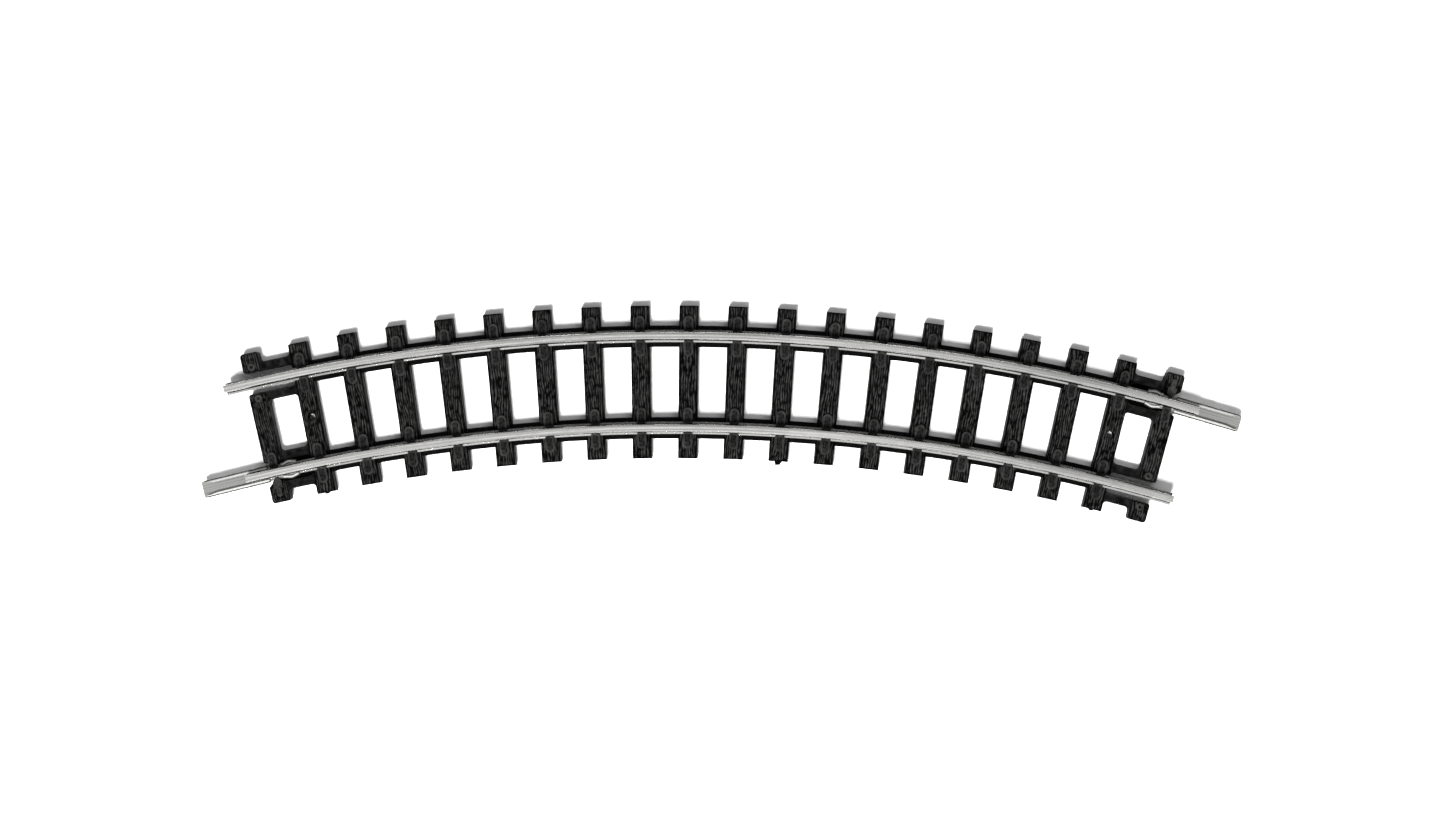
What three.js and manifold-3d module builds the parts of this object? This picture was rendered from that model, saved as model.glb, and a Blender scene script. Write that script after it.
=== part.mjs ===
// A curved section of N gauge model railway track, in millimetres.
//
// It is made the way the real one is: one black moulding of twenty sleepers, two rolled rails
// bent to the curve and held by the moulding's clips, and two folded sheet-metal rail joiners,
// one at each end, on opposite rails.
//
// Frame: +Z up with Z = 0 on the undersides of the sleepers, +X along the chord of the curve,
// +Y away from its centre. The origin is the middle of the bounding box, on its underside.
import * as THREE from "three";
import { mergeVertices } from "three/addons/utils/BufferGeometryUtils.js";
import Module from "manifold-3d";

// ---- driving dimensions ----
const GAUGE = 9.0; // between the inner faces of the two rail heads
const CURVE_RADIUS = 194.6; // to the centre line of the track
const CURVE_ANGLE = 30; // degrees, from rail end to rail end
const RAIL_STEPS = 30; // straight pieces that each curved rail is made of

const RAIL_HEIGHT = 2.03;
const HEAD_WIDTH = 0.76;
const HEAD_DEPTH = 0.5;
const HEAD_ROUND = 0.11;
const HEAD_SLOPE = 0.08; // how far the underside of the head slopes down to the web
const WEB_WIDTH = 0.34;
const FOOT_WIDTH = 1.34;
const FOOT_EDGE = 0.22; // thickness at the edge of the foot
const FOOT_MIDDLE = 0.38; // thickness where the foot meets the web
const FOOT_PLAY = 0.04; // between the foot and the moulding, at the sides and above

const SLEEPER_COUNT = 20;
const SLEEPER_PITCH = 1.484; // degrees from one sleeper to the next
const SLEEPER_WIDTH = 2.0; // at the top
const SLEEPER_DRAFT = 0.05; // each side stands this much further out at the bottom
const SLEEPER_HEIGHT = 1.7;
const SLEEPER_OVERHANG = 3.25; // from the middle of a rail to the end of a sleeper
const RAIL_SEAT = 0.2; // depth of the groove that the foot sits in

const STRIP_WIDTH = 2.28; // the runners that tie the sleepers together under each rail
const STRIP_BOTTOM = 0.25;
const STRIP_DROP = 0.08; // from the underside of the foot to the top of a runner

const CLIP_WIDTH = 0.95;
const CLIP_NEAR = 0.43; // from the middle of the rail to the near end of a clip
const CLIP_REACH = 2.18; // from the middle of the rail to the far end of a clip
const CLIP_RISE = 0.36; // above the sleeper
const CLIP_NOSE = 0.16; // how far the near end of a clip is rounded
const CLIP_INSET = 0.2; // from the edge of a clip to the raised middle of it
const CLIP_CROWN = 0.1; // height of the raised middle

const END_SLOT = 1.13; // from the middle of a rail to the webs of the end frame
const END_WEB = 2.07; // from the middle of a rail to the far side of those webs
const END_WEB_TOP = 1.5;
const END_FLOOR_TOP = 1.2; // of the plate that closes a slot under a joiner
const END_CORNER = 0.45; // radius inside the corners of the end frame
const END_NIP = 0.32; // radius on the free corners of the end sleepers

// The end sleepers hold a joiner with a tongue on each side of it. The distances are from the
// middle of the rail: to the tongue's tip, to where it is as wide as it gets, and to the
// shoulder where the sleeper is full width again.
const LATCH_WIDTH = 0.95;
const LATCH_NECK = 0.95;
const LATCH_BETWEEN = { tip: 0.43, shoulder: 1.25, nose: 0.2 }; // between the rails
const LATCH_OUTSIDE = { tip: 0.56, shoulder: 1.46, nose: 0.4 }; // outside them
const LATCH_ROOT = 0.3; // how far each tongue runs on into its sleeper
const LATCH_CHAMFER = 0.15; // off the corner that faces the middle of the section
const LATCH_RISE = 0.3; // of the outside tongue above the sleeper
const LATCH_CLEAR = 1.0; // half the width of the space that a joiner has between the tongues
const LATCH_UNDER = 0.29; // from the underside of the foot to the underside of a tongue
const STUD_LENGTH = 1.06; // the raised oval on an outside tongue
const STUD_WIDTH = 0.53;
const STUD_AT = 2.1; // from the middle of the rail
const STUD_RISE = 0.4; // above the sleeper

const PIN_HOLE = 0.85; // diameter of the two holes for track pins
const BOLT_OUTER = 0.82; // the moulded bolt heads on the end sleepers
const BOLT_INNER = 0.34;
const BOLT_RISE = 0.18;
const BOLT_DEPTH = 0.25; // of the hole in a bolt head, below the top of the sleeper
const BOLT_AT = 1.7; // from the middle of the rail

// What is left of the gates that the plastic was fed through.
const GATES = [
  { sleeper: 1, width: 0.5, length: 0.16 },
  { sleeper: 11, width: 0.8, length: 0.45 },
  { sleeper: 18, width: 0.5, length: 0.16 },
];
const GATE_BOTTOM = 0.3;
const GATE_TOP = 1.0;

const JOINER_SHEET = 0.14; // thickness of the metal
const JOINER_HALF = 0.91; // half the width over the folded sides
const JOINER_BELOW = 0.02; // between the foot and the joiner's floor
const JOINER_ABOVE = 0.35; // from the underside of the foot to the underside of the lips
const JOINER_LIP = 0.56; // from the middle of the rail to the edge of a lip
const JOINER_MOUTH = 7.96; // from the tongues to the open end
const JOINER_TAIL = 2.45; // from the tongues to the other end
const JOINER_PLAY = 0.27; // along the rail, each way, before the tongues stop it
const JOINER_EAR = 1.06; // from the middle of the rail to the crest of a flared ear
const JOINER_SET = 0.035; // how far it sits inside the curve, because it is straight
const MOUTH_CUT = 1.3; // length over which the lips are cut back at the open end
const MOUTH_FLOOR = 0.35; // how far the floor stands out past the sides
const MOUTH_CORNER = 0.25; // radius on the corners of the floor
const EAR_RUN = 0.1; // straight length of side before an ear starts to flare
const EAR_STEPS = 8; // straight pieces in the flare

const OVERSHOOT = 1.0; // how far a cutting tool runs past the surface it cuts
const LET_IN = 0.3; // how far a small feature runs on inside what it stands on

// ---- derived sizes ----
const RAIL_OFFSET = (GAUGE + HEAD_WIDTH) / 2;
const FOOT_Z = SLEEPER_HEIGHT - RAIL_SEAT;
const SLEEPER_HALF = RAIL_OFFSET + SLEEPER_OVERHANG;
const LAST = SLEEPER_COUNT - 1;
const HALF_ANGLE = CURVE_ANGLE / 2;
const NOTCH_HALF = LATCH_WIDTH / 2 + JOINER_PLAY;

// Each rail carries a joiner at one end: -1 is the end towards -X, 1 the end towards +X.
const OUTER = { radius: CURVE_RADIUS + RAIL_OFFSET, out: 1, joinerEnd: 1 };
const INNER = { radius: CURVE_RADIUS - RAIL_OFFSET, out: -1, joinerEnd: -1 };

// ---- solids: every join and cut goes through manifold-3d ----
const wasm = await Module();
wasm.setup();

function solidOf(geometry) {
  geometry.deleteAttribute("normal");
  geometry.deleteAttribute("uv");
  const merged = mergeVertices(geometry, 1e-5);
  return new wasm.Manifold(
    new wasm.Mesh({
      numProp: 3,
      vertProperties: merged.attributes.position.array,
      triVerts: new Uint32Array(merged.index.array),
    }),
  );
}

function geometryOf(solid) {
  const mesh = solid.getMesh();
  const geometry = new THREE.BufferGeometry();
  geometry.setAttribute("position", new THREE.BufferAttribute(mesh.vertProperties, 3));
  geometry.setIndex(new THREE.BufferAttribute(mesh.triVerts, 1));
  geometry.computeVertexNormals();
  return geometry;
}

const join = (solids) => solids.reduce((a, b) => a.add(b));
const cut = (solid, tools) => tools.reduce((a, b) => a.subtract(b), solid);

// A flat outline of [x, y] points, raised from z0 to z1.
function slab(points, z0, z1) {
  const shape = new THREE.Shape(points.map(([x, y]) => new THREE.Vector2(x, y)));
  const settings = { depth: z1 - z0, bevelEnabled: false };
  return solidOf(new THREE.ExtrudeGeometry(shape, settings).translate(0, 0, z0));
}

// An upright cylinder.
function post([x, y], diameter, z0, z1, sides) {
  const cylinder = new THREE.CylinderGeometry(diameter / 2, diameter / 2, z1 - z0, sides);
  return solidOf(cylinder.rotateX(Math.PI / 2).translate(x, y, (z0 + z1) / 2));
}

// ---- the curve, about its centre at x = 0, y = 0; angles are in degrees, positive towards +X ----
function onCurve(radius, degrees) {
  const a = THREE.MathUtils.degToRad(degrees);
  return [radius * Math.sin(a), radius * Math.cos(a)];
}

const turned = (solid, degrees) => solid.rotate([0, 0, -degrees]);

// A closed [u, z] section carried along an arc; u is measured outwards from the radius.
function sweep(section, radius, from, to, steps) {
  const outline = section.map(([u, z]) => new THREE.Vector2(u, z));
  const count = outline.length;
  const positions = [];
  for (let i = 0; i <= steps; i++) {
    const angle = from + ((to - from) * i) / steps;
    for (const p of outline) positions.push(...onCurve(radius + p.x, angle), p.y);
  }
  const faces = [];
  for (let i = 0; i < steps; i++)
    for (let j = 0; j < count; j++) {
      const a = i * count + j;
      const b = i * count + ((j + 1) % count);
      faces.push(a, b, a + count, b, b + count, a + count);
    }
  const end = steps * count;
  for (const [a, b, c] of THREE.ShapeUtils.triangulateShape(outline, [])) {
    faces.push(a, c, b);
    faces.push(end + a, end + b, end + c);
  }
  const geometry = new THREE.BufferGeometry();
  geometry.setAttribute("position", new THREE.Float32BufferAttribute(positions, 3));
  geometry.setIndex(faces);
  return solidOf(geometry);
}

// ---- outlines ----
// Rounds every corner of a closed outline, each with its own radius or all with one.
function rounded(points, radius, steps = 3) {
  const size = points.length;
  return points.flatMap(([x, y], i) => {
    const r = Array.isArray(radius) ? radius[i] : radius;
    if (r === 0) return [[x, y]];
    const corner = new THREE.Vector2(x, y);
    const toward = (j) => new THREE.Vector2(...points[(j + size) % size]).sub(corner).normalize();
    const a = toward(i - 1);
    const b = toward(i + 1);
    const half = Math.acos(a.dot(b)) / 2;
    const reach = r / Math.tan(half);
    const curve = new THREE.QuadraticBezierCurve(
      corner.clone().addScaledVector(a, reach),
      corner,
      corner.clone().addScaledVector(b, reach),
    );
    return curve.getPoints(steps).map((p) => [p.x, p.y]);
  });
}

// A tongue that points at a rail: x across it, y the distance from the rail to its tip and to
// its far end, both ends round.
function tongue(width, near, far, taper, steps) {
  const half = width / 2;
  const end = (y, depth, sign) =>
    Array.from({ length: steps + 1 }, (_, i) => {
      const a = (Math.PI * i) / steps;
      return [sign * half * Math.cos(a), y - sign * depth * Math.sin(a)];
    });
  return [...end(near + taper, taper, 1), ...end(far - half, half, -1)];
}

// ---- the rails ----
function railSection() {
  const foot = FOOT_WIDTH / 2;
  const web = WEB_WIDTH / 2;
  const head = HEAD_WIDTH / 2;
  const right = [
    [foot, 0],
    [foot, FOOT_EDGE],
    [web, FOOT_MIDDLE],
    [web, RAIL_HEIGHT - HEAD_DEPTH - HEAD_SLOPE],
    [head, RAIL_HEIGHT - HEAD_DEPTH],
    [head, RAIL_HEIGHT - HEAD_ROUND],
    [head - HEAD_ROUND, RAIL_HEIGHT],
  ];
  const left = right.map(([u, z]) => [-u, z]).reverse();
  return [...right, ...left].map(([u, z]) => [u, FOOT_Z + z]);
}

const rail = ({ radius }) => sweep(railSection(), radius, -HALF_ANGLE, HALF_ANGLE, RAIL_STEPS);

// What is cut out of the moulding for a rail: the foot with its play, and the web above it.
function railSpace({ radius }) {
  const foot = FOOT_WIDTH / 2 + FOOT_PLAY;
  const web = WEB_WIDTH / 2 + FOOT_PLAY;
  const right = [
    [foot, 0],
    [foot, FOOT_EDGE + FOOT_PLAY],
    [web, FOOT_MIDDLE + FOOT_PLAY],
    [web, RAIL_HEIGHT],
  ];
  const left = right.map(([u, z]) => [-u, z]).reverse();
  const section = [...right, ...left].map(([u, z]) => [u, FOOT_Z + z]);
  return sweep(section, radius, -HALF_ANGLE - 1, HALF_ANGLE + 1, RAIL_STEPS + 2);
}

// ---- the moulding ----
const sleeperAngle = (i) => (i - LAST / 2) * SLEEPER_PITCH;

// A point given in a sleeper's own frame: x along the track, y from the centre of the curve.
function fromSleeper(i, x, y) {
  const [ax, ay] = onCurve(y, sleeperAngle(i));
  const [bx, by] = onCurve(x, sleeperAngle(i) + 90);
  return [ax + bx, ay + by];
}

// One sleeper, slightly wider at the bottom so that it leaves the mould.
function sleeper(i) {
  const top = SLEEPER_WIDTH / 2;
  const bottom = top + SLEEPER_DRAFT;
  const section = [
    [-bottom, 0],
    [bottom, 0],
    [top, SLEEPER_HEIGHT],
    [-top, SLEEPER_HEIGHT],
  ];
  const bar = slab(section, -SLEEPER_HALF, SLEEPER_HALF).rotate([90, 0, 0]);
  return turned(bar.translate([0, CURVE_RADIUS, 0]), sleeperAngle(i));
}

// Four clips hold the rails on each sleeper, one on each side of each rail.
function clip(width, near, far, taper) {
  const top = SLEEPER_HEIGHT + CLIP_RISE;
  const inset = CLIP_INSET;
  const pad = slab(tongue(width, near, far, taper, 3), FOOT_Z, top);
  const inner = tongue(width - 2 * inset, near + inset, far - inset, taper / 2, 2);
  return pad.add(slab(inner, top - inset, top + CLIP_CROWN));
}

// A piece drawn pointing at a rail, set down on one side of that rail at a sleeper: side 1 is
// away from the centre of the curve.
function besideRail(piece, { radius }, side, i) {
  const facing = side > 0 ? piece : piece.mirror([0, 1, 0]);
  return turned(facing.translate([0, radius, 0]), sleeperAngle(i));
}

function clips() {
  const one = clip(CLIP_WIDTH, CLIP_NEAR, CLIP_REACH, CLIP_NOSE);
  const all = [];
  for (let i = 1; i < LAST; i++)
    for (const track of [OUTER, INNER])
      for (const side of [1, -1]) all.push(besideRail(one, track, side, i));
  return all;
}

// The runner under a rail, from the second sleeper to the last but one.
function runner({ radius }) {
  const half = STRIP_WIDTH / 2;
  const section = [
    [-half, STRIP_BOTTOM],
    [half, STRIP_BOTTOM],
    [half, FOOT_Z - STRIP_DROP],
    [-half, FOOT_Z - STRIP_DROP],
  ];
  return sweep(section, radius, sleeperAngle(1), sleeperAngle(LAST - 1), LAST - 2);
}

// The open frame between the last two sleepers of one end. The slot round each rail lets a
// joiner pass under the foot. It is open to the floor, or closed by a thinner plate at the end
// where the rail carries its joiner.
function endFrame(end) {
  const last = end < 0 ? 0 : LAST;
  const next = last - end;
  const inward = -end;
  const inner = CURVE_RADIUS - SLEEPER_HALF;
  const outer = CURVE_RADIUS + SLEEPER_HALF;
  const face = (SLEEPER_WIDTH / 2) * inward;
  const outline = (x0, y0, x1, y1) => {
    const points = [
      fromSleeper(last, x0, y0),
      fromSleeper(last, x0, y1),
      fromSleeper(next, x1, y1),
      fromSleeper(next, x1, y0),
    ];
    return inward > 0 ? points.reverse() : points;
  };
  const plate = slab(outline(0, inner, 0, outer), 0, END_WEB_TOP);
  const hole = (y0, y1) =>
    slab(rounded(outline(face, y0, -face, y1), END_CORNER), -OVERSHOOT, SLEEPER_HEIGHT);
  const slot = ({ radius, joinerEnd }) => {
    const back = -2 * SLEEPER_WIDTH * inward;
    const corners = outline(back, radius - END_SLOT, -face, radius + END_SLOT);
    const bottom = joinerEnd === end ? END_FLOOR_TOP : -OVERSHOOT;
    return slab(rounded(corners, END_CORNER), bottom, SLEEPER_HEIGHT);
  };
  return cut(plate, [
    hole(INNER.radius + END_WEB, OUTER.radius - END_WEB),
    hole(inner - 2 * OVERSHOOT, INNER.radius - END_WEB),
    hole(OUTER.radius + END_WEB, outer + 2 * OVERSHOOT),
    slot(INNER),
    slot(OUTER),
  ]);
}

// The pieces of an end sleeper, which is parted at both rails, with its free corners rounded.
function endSleeper(end) {
  const last = end < 0 ? 0 : LAST;
  const half = SLEEPER_WIDTH / 2;
  const piece = (y0, y1) => {
    const corners = [
      fromSleeper(last, -half, y0),
      fromSleeper(last, half, y0),
      fromSleeper(last, half, y1),
      fromSleeper(last, -half, y1),
    ];
    return slab(rounded(corners, END_NIP), 0, SLEEPER_HEIGHT);
  };
  const start = (track, side) => {
    const shape = side === track.out ? LATCH_OUTSIDE : LATCH_BETWEEN;
    return track.radius + side * (track.joinerEnd === end ? shape.shoulder : END_SLOT);
  };
  return join([
    piece(CURVE_RADIUS - SLEEPER_HALF, start(INNER, -1)),
    piece(start(INNER, 1), start(OUTER, -1)),
    piece(start(OUTER, 1), CURVE_RADIUS + SLEEPER_HALF),
  ]);
}

// The stretch of an end sleeper between its full width and a tongue.
function latchBody({ shoulder }) {
  const half = SLEEPER_WIDTH / 2;
  const narrow = LATCH_WIDTH / 2;
  const root = shoulder + LATCH_ROOT;
  const outline = [
    [-half, root],
    [-half, shoulder],
    [-narrow, LATCH_NECK],
    [narrow, LATCH_NECK],
    [half - LATCH_CHAMFER, END_SLOT],
    [half, END_SLOT],
    [half, root],
  ];
  return slab(outline, 0, SLEEPER_HEIGHT);
}

// The two tongues of an end sleeper that reach over a joiner from both sides and through the
// notches in it, to the top of the foot. The one between the rails is a clip like the others.
function latch(end, track) {
  const last = end < 0 ? 0 : LAST;
  const between = latchBody(LATCH_BETWEEN).add(
    clip(LATCH_WIDTH, LATCH_BETWEEN.tip, CLIP_REACH, LATCH_BETWEEN.nose),
  );
  const { tip, shoulder, nose } = LATCH_OUTSIDE;
  const pointed = tongue(LATCH_WIDTH, tip, shoulder + LATCH_ROOT, nose, 6);
  const near = STUD_AT - STUD_LENGTH / 2;
  const stud = tongue(STUD_WIDTH, near, near + STUD_LENGTH, STUD_WIDTH / 2, 4);
  const outside = join([
    latchBody(LATCH_OUTSIDE),
    slab(pointed, FOOT_Z, SLEEPER_HEIGHT + LATCH_RISE),
    slab(stud, FOOT_Z, SLEEPER_HEIGHT + STUD_RISE),
  ]);
  const inboard = (piece) => (end < 0 ? piece : piece.mirror([1, 0, 0]));
  return join([
    besideRail(inboard(between), track, -track.out, last),
    besideRail(inboard(outside), track, track.out, last),
  ]);
}

// The space for a joiner's floor and sides below the tongues.
function joinerSpace(end, track) {
  const last = sleeperAngle(end < 0 ? 0 : LAST);
  const section = [
    [-LATCH_CLEAR, END_FLOOR_TOP],
    [LATCH_CLEAR, END_FLOOR_TOP],
    [LATCH_CLEAR, FOOT_Z + LATCH_UNDER],
    [-LATCH_CLEAR, FOOT_Z + LATCH_UNDER],
  ];
  return sweep(section, track.radius, last - SLEEPER_PITCH / 2, last + SLEEPER_PITCH / 2, 2);
}

// The moulded bolt heads on each side of a rail end that has no joiner.
function bolts(end, track) {
  const last = end < 0 ? 0 : LAST;
  return [1, -1].map((side) => {
    const at = fromSleeper(last, 0, track.radius + side * BOLT_AT);
    const ring = post(at, BOLT_OUTER, SLEEPER_HEIGHT - LET_IN, SLEEPER_HEIGHT + BOLT_RISE, 12);
    const hole = post(at, BOLT_INNER, SLEEPER_HEIGHT - BOLT_DEPTH, SLEEPER_HEIGHT + OVERSHOOT, 8);
    return { ring, hole };
  });
}

function gate({ sleeper: i, width, length }) {
  const end = CURVE_RADIUS - SLEEPER_HALF;
  const outline = [
    fromSleeper(i, -width / 2, end - length),
    fromSleeper(i, width / 2, end - length),
    fromSleeper(i, width / 2, end + LET_IN),
    fromSleeper(i, -width / 2, end + LET_IN),
  ];
  return slab(outline, GATE_BOTTOM, GATE_TOP);
}

function moulding() {
  const sleepers = Array.from({ length: SLEEPER_COUNT - 2 }, (_, i) => sleeper(i + 1));
  const heads = [bolts(-1, OUTER), bolts(1, INNER)].flat();
  const whole = join([
    ...sleepers,
    runner(OUTER),
    runner(INNER),
    endFrame(-1),
    endFrame(1),
    endSleeper(-1),
    endSleeper(1),
    latch(INNER.joinerEnd, INNER),
    latch(OUTER.joinerEnd, OUTER),
    ...clips(),
    ...heads.map((bolt) => bolt.ring),
    ...GATES.map(gate),
  ]);
  const pinHole = (i) =>
    post(fromSleeper(i, 0, CURVE_RADIUS), PIN_HOLE, -OVERSHOOT, SLEEPER_HEIGHT + OVERSHOOT, 16);
  return cut(whole, [
    railSpace(OUTER),
    railSpace(INNER),
    joinerSpace(INNER.joinerEnd, INNER),
    joinerSpace(OUTER.joinerEnd, OUTER),
    pinHole(1),
    pinHole(LAST - 1),
    ...heads.map((bolt) => bolt.hole),
  ]);
}

// ---- the joiners ----
// Half the width over the sides at a distance along the joiner: it flares into an ear between
// the notch and the tail.
function joinerSide(x) {
  const from = -NOTCH_HALF - EAR_RUN;
  const to = -JOINER_TAIL;
  const t = THREE.MathUtils.clamp((x - from) / (to - from), 0, 1);
  return JOINER_HALF + (JOINER_EAR - JOINER_HALF) * Math.sin(Math.PI * t) ** 2;
}

// A straight joiner along X with its notches at x = 0 and its open end towards +X.
function joinerBlank() {
  const floorTop = FOOT_Z - JOINER_BELOW;
  const floorBottom = floorTop - JOINER_SHEET;
  const lipBottom = FOOT_Z + JOINER_ABOVE;
  const lipTop = lipBottom + JOINER_SHEET;
  const sideEnd = JOINER_MOUTH - MOUTH_FLOOR;
  const ear = Array.from({ length: EAR_STEPS + 1 }, (_, i) => {
    const x = -JOINER_TAIL + ((JOINER_TAIL - NOTCH_HALF) * i) / EAR_STEPS;
    return [x, joinerSide(x)];
  });
  const flat = [
    [-JOINER_TAIL, -JOINER_HALF],
    [JOINER_MOUTH, -JOINER_HALF],
    [JOINER_MOUTH, JOINER_HALF],
    [-JOINER_TAIL, JOINER_HALF],
  ];
  const corners = [0, MOUTH_CORNER, MOUTH_CORNER, 0];
  const floor = slab(rounded(flat, corners), floorBottom, floorTop);
  const wallRun = (xs) => [
    ...xs.map(([x, y]) => [x, y - JOINER_SHEET]),
    ...xs.map(([x, y]) => [x, y]).reverse(),
  ];
  const front = [
    [NOTCH_HALF, JOINER_HALF],
    [sideEnd, JOINER_HALF],
  ];
  const walls = [ear, front].map((run) => slab(wallRun(run), floorBottom, lipTop));
  const lipRear = [[-JOINER_TAIL, JOINER_LIP], [-NOTCH_HALF, JOINER_LIP], ...ear.slice().reverse()];
  const lipFront = [
    [NOTCH_HALF, JOINER_LIP],
    [sideEnd - MOUTH_CUT, JOINER_LIP],
    [sideEnd, JOINER_HALF - JOINER_SHEET],
    [sideEnd, JOINER_HALF],
    [NOTCH_HALF, JOINER_HALF],
  ];
  const lips = [lipRear, lipFront].map((outline) => slab(outline, lipBottom, lipTop));
  // The ears stand outside the floor, so a sill carries them down to it.
  const sillOutline = [[-JOINER_TAIL, 0], [-NOTCH_HALF, 0], ...ear.slice().reverse()];
  const sill = slab(sillOutline, floorBottom, floorTop);
  const side = join([...walls, ...lips, sill]);
  return join([floor, side, side.mirror([0, 1, 0])]);
}

// A joiner is straight, in line with the end of its rail, and its notches sit at the tongues.
function joiner(track) {
  const end = track.joinerEnd;
  const back = HALF_ANGLE - Math.abs(sleeperAngle(LAST));
  const behind = track.radius * Math.sin(THREE.MathUtils.degToRad(back));
  const [x, y] = onCurve(track.radius - JOINER_SET, end * HALF_ANGLE);
  const along = joinerBlank().translate([-behind, 0, 0]);
  const facing = end > 0 ? along : along.mirror([1, 0, 0]);
  return turned(facing, end * HALF_ANGLE).translate([x, y, 0]);
}

// ---- assembly ----
const PLASTIC = { color: 0x17181a, roughness: 0.55, metalness: 0 };
const NICKEL = { color: 0xc9c8c2, roughness: 0.28, metalness: 1 };
const SHEET = { color: 0xb9b9b4, roughness: 0.35, metalness: 1 };

const pieces = [
  { name: "sleeper_bed", solid: moulding(), finish: PLASTIC },
  { name: "outer_rail", solid: rail(OUTER), finish: NICKEL },
  { name: "inner_rail", solid: rail(INNER), finish: NICKEL },
  { name: "right_joiner", solid: joiner(OUTER), finish: SHEET },
  { name: "left_joiner", solid: joiner(INNER), finish: SHEET },
];

// The whole section is moved so that the origin is the middle of its bounding box.
const boxes = pieces.map(({ solid }) => solid.boundingBox());
const middle = [0, 1].map((axis) => {
  const low = Math.min(...boxes.map((box) => box.min[axis]));
  const high = Math.max(...boxes.map((box) => box.max[axis]));
  return (low + high) / 2;
});

const track = new THREE.Group();
track.name = "model_track_section";
for (const { name, solid, finish } of pieces) {
  const placed = solid.translate([-middle[0], -middle[1], 0]);
  const mesh = new THREE.Mesh(geometryOf(placed), new THREE.MeshStandardMaterial(finish));
  mesh.name = name;
  track.add(mesh);
}

export default track;
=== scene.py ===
"""The looks of a curved section of N gauge model railway track.

The black moulding is rebuilt with the wood grain, clips and end latches of the real one, the
rails are drawn metal with round-edged heads, and the joiners are bent sheet. Lengths are in
millimetres up to make(), which turns them into metres.
"""

import math  # noqa: E402

import bpy  # noqa: E402
from mathutils import Matrix, Vector, noise  # noqa: E402
from mathutils.geometry import delaunay_2d_cdt  # noqa: E402


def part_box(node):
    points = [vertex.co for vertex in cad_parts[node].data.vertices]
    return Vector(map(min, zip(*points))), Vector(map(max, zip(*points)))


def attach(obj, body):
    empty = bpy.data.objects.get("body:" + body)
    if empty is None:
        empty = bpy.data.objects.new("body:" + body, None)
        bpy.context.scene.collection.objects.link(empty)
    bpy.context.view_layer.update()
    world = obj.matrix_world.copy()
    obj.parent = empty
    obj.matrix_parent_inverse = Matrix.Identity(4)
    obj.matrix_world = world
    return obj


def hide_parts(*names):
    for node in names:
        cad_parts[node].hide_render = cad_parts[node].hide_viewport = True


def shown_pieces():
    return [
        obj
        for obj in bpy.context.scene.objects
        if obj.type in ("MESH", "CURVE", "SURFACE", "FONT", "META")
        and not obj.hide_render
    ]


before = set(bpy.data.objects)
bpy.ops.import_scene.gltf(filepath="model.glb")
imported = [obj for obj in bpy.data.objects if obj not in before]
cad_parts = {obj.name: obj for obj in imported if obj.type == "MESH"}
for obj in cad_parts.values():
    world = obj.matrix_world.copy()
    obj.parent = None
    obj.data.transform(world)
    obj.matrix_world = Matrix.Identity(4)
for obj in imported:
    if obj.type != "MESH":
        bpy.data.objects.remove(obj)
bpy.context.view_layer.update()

MM = 0.001

# ---- sizes that the frame gives ----
HALF_ANGLE = 15.0  # degrees, from the middle of the section to a rail end
FOOT_WIDTH = 1.34


def box_mm(node):
    low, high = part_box(node)
    return low / MM, high / MM


def rail_radius(node):
    """The radius of a rail's middle, from its box, which spans its foot's outer edge."""
    low, high = box_mm(node)
    return (high.x - low.x) / 2 / math.sin(math.radians(HALF_ANGLE)) - FOOT_WIDTH / 2


OUTER_RADIUS = rail_radius("outer_rail")
INNER_RADIUS = rail_radius("inner_rail")
CURVE_RADIUS = (OUTER_RADIUS + INNER_RADIUS) / 2
outer_low, outer_high = box_mm("outer_rail")
CENTRE_X = (outer_low.x + outer_high.x) / 2
CENTRE = Vector((CENTRE_X, outer_high.y - OUTER_RADIUS - FOOT_WIDTH / 2))
FOOT_Z = outer_low.z
RAIL_TOP = outer_high.z

# ---- the moulding, as in the CAD ----
SLEEPER_COUNT = 20
LAST = SLEEPER_COUNT - 1
SLEEPER_PITCH = 1.484
SLEEPER_WIDTH = 2.0
SLEEPER_DRAFT = 0.05  # wider by this on each side at the bottom
SLEEPER_OVERHANG = 3.25  # past the middle of a rail
SLEEPER_HEIGHT = FOOT_Z + 0.2
RAIL_OFFSET = (OUTER_RADIUS - INNER_RADIUS) / 2
SLEEPER_HALF = RAIL_OFFSET + SLEEPER_OVERHANG
EDGE = 0.09  # radius on the moulded edges

GRAIN_STEP = 0.25  # between one line of the wood grain and the next
GRAIN_DEPTH = 0.08
GRAIN_MARGIN = 0.2  # over which the grain rises out of a sunken edge, which the plastic's colour paints dark as shade
KNOT_PULL = 0.1  # how far a knot pushes the lines aside
WEB_SKIN = 0.05  # depth of the unevenness in the webs' tops

# The strips that run under the rails.
STRIP_WIDTH = 2.28
STRIP_BOTTOM = 0.25
STRIP_TOP = FOOT_Z - 0.08
STRIP_EDGE = 0.06
STRIP_STEPS = 90

# The clips, measured from the middle of a rail or up from the floor.
CLIP_WIDTH = 1.0
CLIP_NEAR = 0.43
CLIP_FOOT_NEAR = 0.75
CLIP_REACH = 2.18
CLIP_TOP = SLEEPER_HEIGHT + 0.42
CLIP_EDGE = 0.07
CLIP_RIM = 0.16  # round the dish in a clip's top
CLIP_DISH = 0.09

# The end frames, measured from the middle of a rail or up from the floor.
END_SLOT = 1.13
END_WEB = 2.07
END_WEB_TOP = 1.5
END_FLOOR_TOP = 1.2
END_CORNER = 0.45
END_NIP = 0.32  # radius on an end sleeper's corners
END_TIP = 1.2 * END_NIP  # and on those at the track's sides
BURIED = 0.3  # of a web's length, inside each sleeper that it joins

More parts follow.
